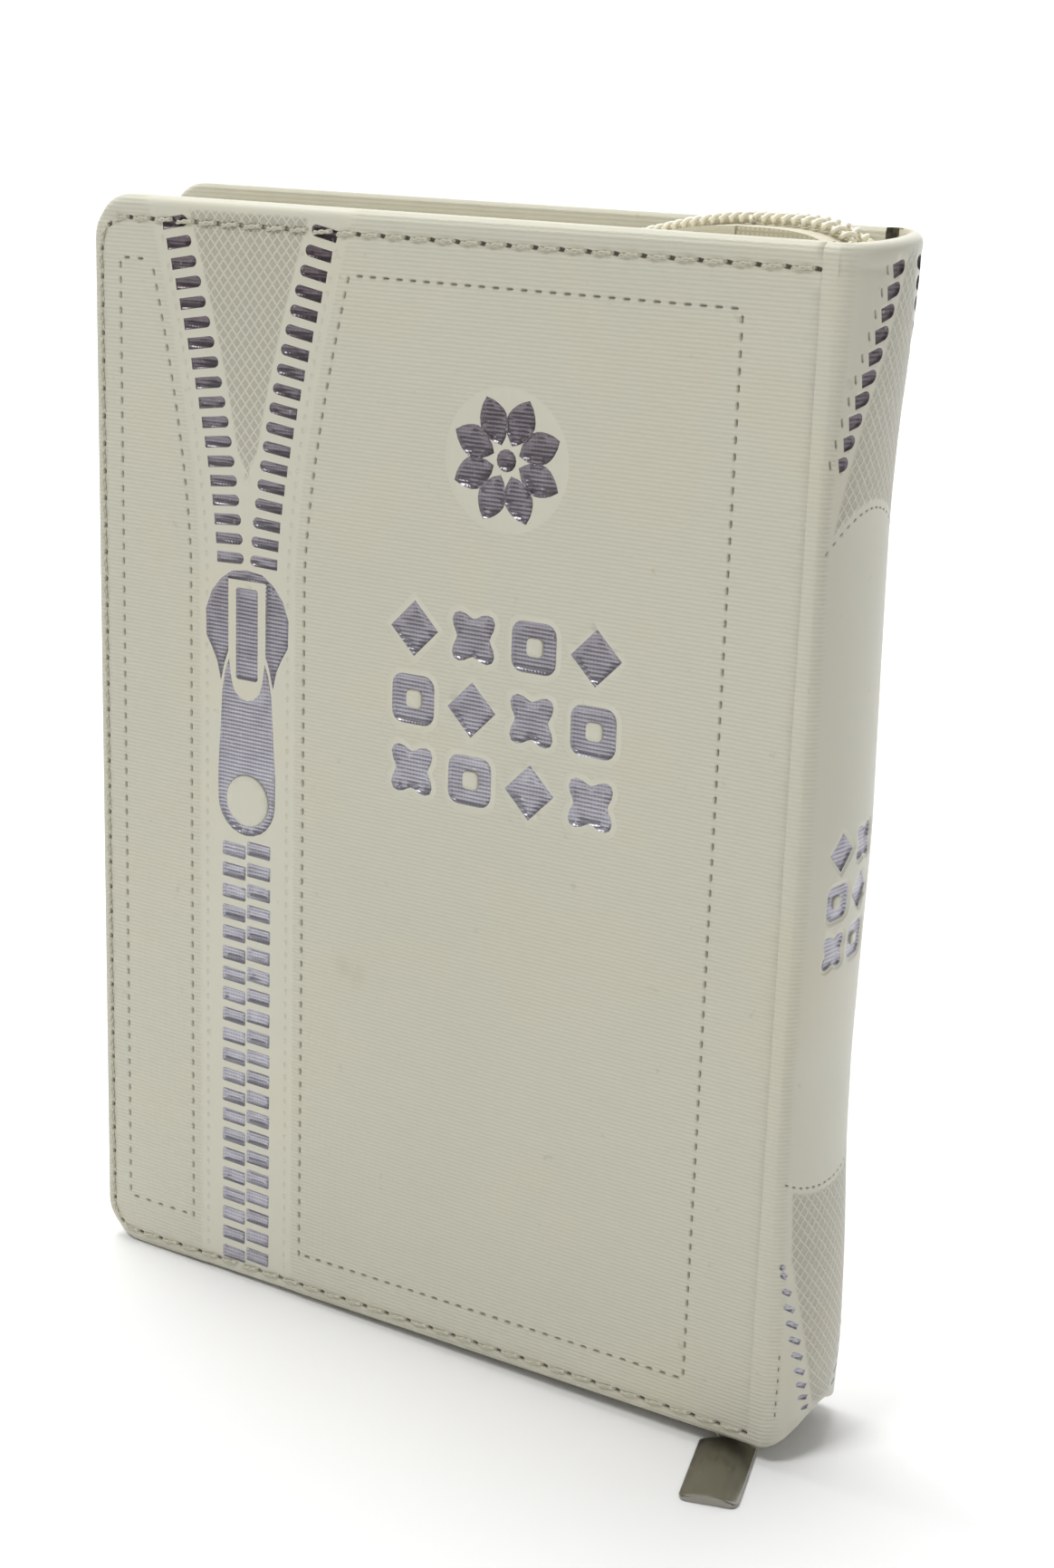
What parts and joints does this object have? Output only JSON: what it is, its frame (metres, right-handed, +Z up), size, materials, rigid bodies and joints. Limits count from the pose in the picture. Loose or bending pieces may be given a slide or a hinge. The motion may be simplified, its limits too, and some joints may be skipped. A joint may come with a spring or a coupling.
{
  "type": "prayer book",
  "caption": "Small prayer book in a padded case that zips shut round its pages, with opening covers, turning pages, and a zipper slider with a swinging pull.",
  "frame": {"origin": "middle of the overall box, on the surface that the book stands on", "axes": "+Z up along the spine, +X from the fore-edge to the spine, +Y from the front cover to the back cover"},
  "size_m": [0.133, 0.0368, 0.1788],
  "materials": {
    "case_skin": "fine-ribbed matt ivory synthetic leather",
    "foam": "soft sheet foam",
    "board": "grey bookbinding board",
    "lining": "smooth cream lining",
    "thread": "cream sewing thread",
    "zipper_tape": "woven cream tape",
    "zipper_coil": "cream nylon monofilament",
    "zipper_metal": "polished nickel plate",
    "pages": "uncoated cream paper",
    "glue": "binding glue",
    "cloth": "woven cotton"
  },
  "bodies": {
    "spine": {"spine_skin": "case_skin", "spine_stiffener": "board", "spine_lining": "lining", "spine_hollow": "pages", "spine_glue": "glue", "mull": "cloth", "head_band": "cloth", "tail_band": "cloth", "lower_end_tape": "zipper_tape", "upper_end_tape": "zipper_tape", "lower_end_coil": "zipper_coil", "upper_end_coil": "zipper_coil", "lower_stop": "zipper_metal", "upper_stop": "zipper_metal", "signature_4": "pages", "signature_5": "pages", "signature_6": "pages"},
    "front_cover": {"front_cover_skin": "case_skin", "front_cover_padding": "foam", "front_cover_board": "board", "front_cover_lining": "lining", "front_cover_stitching": "thread", "front_zipper_tape": "zipper_tape", "front_zipper_coil": "zipper_coil"},
    "back_cover": {"back_cover_skin": "case_skin", "back_cover_padding": "foam", "back_cover_board": "board", "back_cover_lining": "lining", "back_cover_stitching": "thread", "back_zipper_tape": "zipper_tape", "back_zipper_coil": "zipper_coil"},
    "front_flyleaf": {"front_flyleaf": "pages"},
    "back_flyleaf": {"back_flyleaf": "pages"},
    "signature_1": {"signature_1": "pages"},
    "signature_2": {"signature_2": "pages"},
    "signature_3": {"signature_3": "pages"},
    "signature_7": {"signature_7": "pages"},
    "signature_8": {"signature_8": "pages"},
    "signature_9": {"signature_9": "pages"},
    "slider": {"slider_body": "zipper_metal", "slider_bail": "zipper_metal", "slider_lock_spring": "zipper_metal"},
    "pull_link": {"pull_link": "zipper_metal"},
    "pull_tab": {"pull_tab": "zipper_metal"}
  },
  "joints": [
    {"name": "front_cover_open", "type": "hinge", "parent": "spine", "child": "front_cover", "pos_m": [0.0605, -0.00361, 0], "axis": [0, 0, 1], "range_deg": [0, 170]},
    {"name": "back_cover_open", "type": "hinge", "parent": "spine", "child": "back_cover", "pos_m": [0.0605, 0.01839, 0], "axis": [0, 0, -1], "range_deg": [0, 170]},
    {"name": "front_flyleaf_turn", "type": "hinge", "parent": "spine", "child": "front_flyleaf", "pos_m": [0.05458, 0.00024, 0], "axis": [0, 0, 1], "range_deg": [0, 120]},
    {"name": "back_flyleaf_turn", "type": "hinge", "parent": "spine", "child": "back_flyleaf", "pos_m": [0.05458, 0.01454, 0], "axis": [0, 0, -1], "range_deg": [0, 120]},
    {"name": "signature_1_turn", "type": "hinge", "parent": "spine", "child": "signature_1", "pos_m": [0.0535, 0.00119, 0], "axis": [0, 0, 1], "range_deg": [0, 100]},
    {"name": "signature_2_turn", "type": "hinge", "parent": "spine", "child": "signature_2", "pos_m": [0.05225, 0.00274, 0], "axis": [0, 0, 1], "range_deg": [0, 80]},
    {"name": "signature_3_turn", "type": "hinge", "parent": "spine", "child": "signature_3", "pos_m": [0.0515, 0.00429, 0], "axis": [0, 0, 1], "range_deg": [0, 55]},
    {"name": "signature_7_turn", "type": "hinge", "parent": "spine", "child": "signature_7", "pos_m": [0.0515, 0.01049, 0], "axis": [0, 0, -1], "range_deg": [0, 55]},
    {"name": "signature_8_turn", "type": "hinge", "parent": "spine", "child": "signature_8", "pos_m": [0.05225, 0.01204, 0], "axis": [0, 0, -1], "range_deg": [0, 80]},
    {"name": "signature_9_turn", "type": "hinge", "parent": "spine", "child": "signature_9", "pos_m": [0.0535, 0.01359, 0], "axis": [0, 0, -1], "range_deg": [0, 100]},
    {"name": "slider_run", "type": "slide", "parent": "spine", "child": "slider", "axis": [0.9998, 0, 0.0196], "range_m": [-0.096, 0]},
    {"name": "pull_swivel", "type": "hinge", "parent": "slider", "child": "pull_link", "pos_m": [0.0522, 0.00739, 0.00142], "axis": [0, 0, 1], "range_deg": [-50, 190]},
    {"name": "pull_tilt", "type": "hinge", "parent": "pull_link", "child": "pull_tab", "pos_m": [0.05467, -0.00022, 0.0008], "axis": [0.9511, 0.309, 0], "range_deg": [0, 110]}
  ],
  "couplings": [
    {"joint": "front_flyleaf_turn", "follows": "front_cover_open", "ratio": 0.70588},
    {"joint": "back_flyleaf_turn", "follows": "back_cover_open", "ratio": 0.70588},
    {"joint": "signature_1_turn", "follows": "front_cover_open", "ratio": 0.58823},
    {"joint": "signature_2_turn", "follows": "front_cover_open", "ratio": 0.47059},
    {"joint": "signature_3_turn", "follows": "front_cover_open", "ratio": 0.32353},
    {"joint": "signature_7_turn", "follows": "back_cover_open", "ratio": 0.32353},
    {"joint": "signature_8_turn", "follows": "back_cover_open", "ratio": 0.47059},
    {"joint": "signature_9_turn", "follows": "back_cover_open", "ratio": 0.58823}
  ]
}
